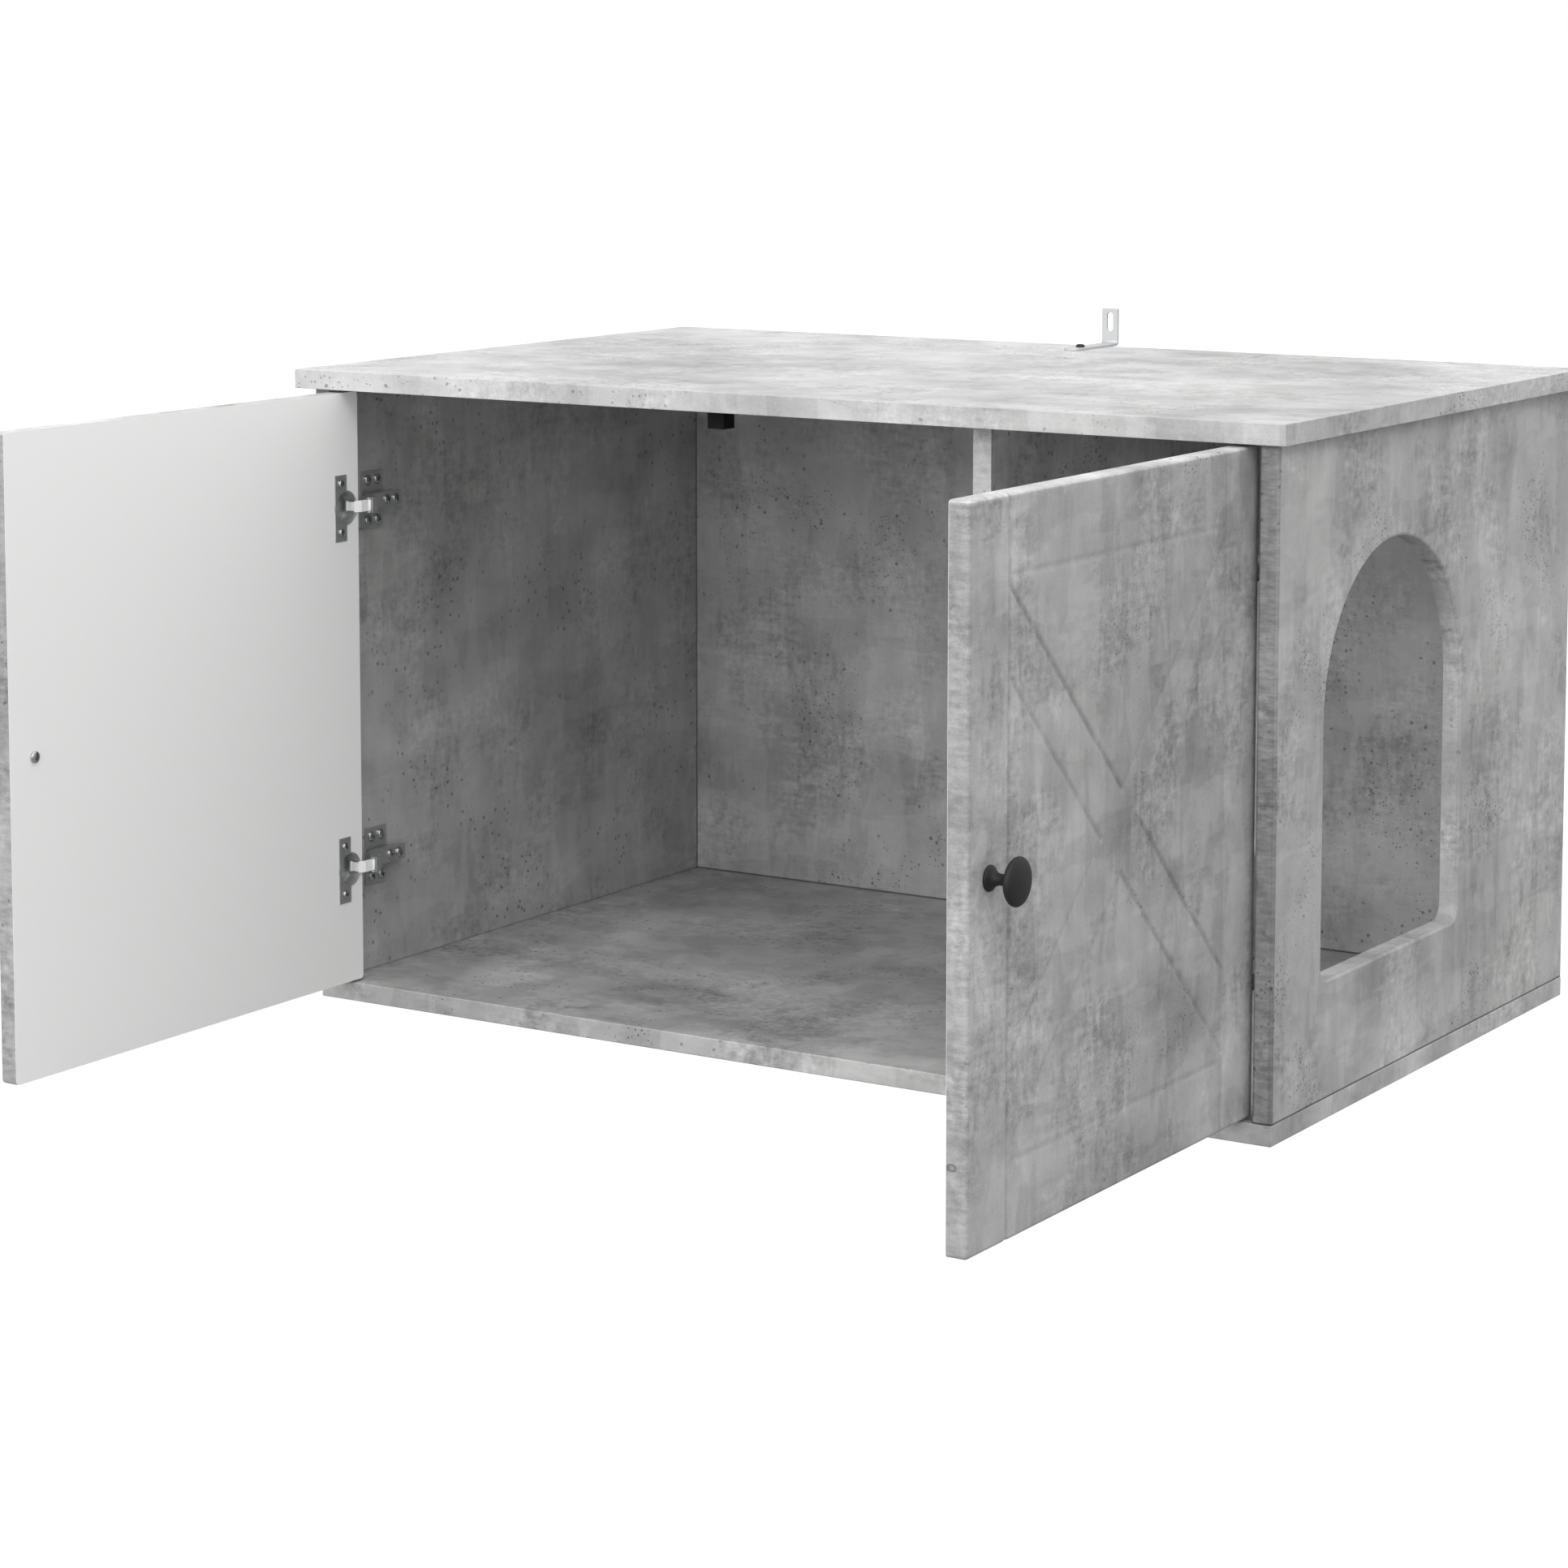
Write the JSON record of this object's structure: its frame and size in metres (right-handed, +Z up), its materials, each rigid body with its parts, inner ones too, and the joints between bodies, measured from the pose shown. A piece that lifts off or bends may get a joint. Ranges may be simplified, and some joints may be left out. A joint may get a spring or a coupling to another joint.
{
  "type": "cat house",
  "caption": "Low cat cabinet with hinged panelled doors, a divider with a passage and an arched side entrance",
  "frame": {"origin": "middle of the bottom panel's underside, on the floor", "axes": "+X to the right seen from the front, +Y to the back, +Z up; the doors face -Y"},
  "size_m": [0.85, 0.929, 0.531],
  "materials": {
    "concrete_board": "matte concrete print with grey clouds and dark pits",
    "door_board": "matte concrete print outside, plain white inside",
    "hinge_steel": "dull nickel plating",
    "bright_steel": "bright nickel plating",
    "zinc": "zinc plating",
    "black_steel": "satin black",
    "black_plastic": "matte black",
    "beech": "plain beech"
  },
  "bodies": {
    "cabinet": {"top_panel": "concrete_board", "bottom_panel": "concrete_board", "left_side_panel": "concrete_board", "right_side_panel": "concrete_board", "back_panel": "concrete_board", "divider_panel": "concrete_board", "panel_dowels": "beech", "floor_screws": "zinc", "cam_bolts": "zinc", "cam_discs": "zinc", "door_stop": "black_plastic", "door_stop_screw": "zinc", "wall_bracket": "zinc", "bracket_screw": "black_steel", "left_upper_hinge_plate": "hinge_steel", "left_lower_hinge_plate": "hinge_steel", "left_plate_screws": "zinc", "left_upper_hinge_arm": "hinge_steel", "left_lower_hinge_arm": "hinge_steel", "left_arm_screws": "zinc", "left_arm_pins": "hinge_steel", "right_upper_hinge_plate": "hinge_steel", "right_lower_hinge_plate": "hinge_steel", "right_plate_screws": "zinc", "right_upper_hinge_arm": "hinge_steel", "right_lower_hinge_arm": "hinge_steel", "right_arm_screws": "zinc", "right_arm_pins": "hinge_steel"},
    "left_door_leaf": {"left_door": "door_board", "left_knob": "black_steel", "left_knob_screw": "zinc", "left_upper_hinge_cup": "hinge_steel", "left_lower_hinge_cup": "hinge_steel", "left_cup_screws": "zinc"},
    "left_upper_link": {"left_upper_hinge_link": "bright_steel"},
    "left_lower_link": {"left_lower_hinge_link": "bright_steel"},
    "right_door_leaf": {"right_door": "door_board", "right_knob": "black_steel", "right_knob_screw": "zinc", "right_upper_hinge_cup": "hinge_steel", "right_lower_hinge_cup": "hinge_steel", "right_cup_screws": "zinc"},
    "right_upper_link": {"right_upper_hinge_link": "bright_steel"},
    "right_lower_link": {"right_lower_hinge_link": "bright_steel"}
  },
  "joints": [
    {"name": "left_door_swing", "type": "hinge", "parent": "cabinet", "child": "left_door_leaf", "pos_m": [-0.392, -0.261, 0.25], "axis": [0, 0, -1], "range_deg": [-90, 5]},
    {"name": "left_upper_link_turn", "type": "hinge", "parent": "cabinet", "child": "left_upper_link", "pos_m": [-0.3771, -0.2461, 0.393], "axis": [0, 0, -1], "range_deg": [-2, 24]},
    {"name": "left_lower_link_turn", "type": "hinge", "parent": "cabinet", "child": "left_lower_link", "pos_m": [-0.3771, -0.2461, 0.107], "axis": [0, 0, -1], "range_deg": [-2, 24]},
    {"name": "right_door_swing", "type": "hinge", "parent": "cabinet", "child": "right_door_leaf", "pos_m": [0.392, -0.261, 0.25], "axis": [0, 0, 1], "range_deg": [-90, 5]},
    {"name": "right_upper_link_turn", "type": "hinge", "parent": "cabinet", "child": "right_upper_link", "pos_m": [0.3771, -0.2461, 0.393], "axis": [0, 0, 1], "range_deg": [-2, 24]},
    {"name": "right_lower_link_turn", "type": "hinge", "parent": "cabinet", "child": "right_lower_link", "pos_m": [0.3771, -0.2461, 0.107], "axis": [0, 0, 1], "range_deg": [-2, 24]}
  ],
  "couplings": [
    {"joint": "left_upper_link_turn", "follows": "left_door_swing", "ratio": -0.2533},
    {"joint": "left_lower_link_turn", "follows": "left_door_swing", "ratio": -0.2533},
    {"joint": "right_upper_link_turn", "follows": "right_door_swing", "ratio": -0.2533},
    {"joint": "right_lower_link_turn", "follows": "right_door_swing", "ratio": -0.2533}
  ]
}
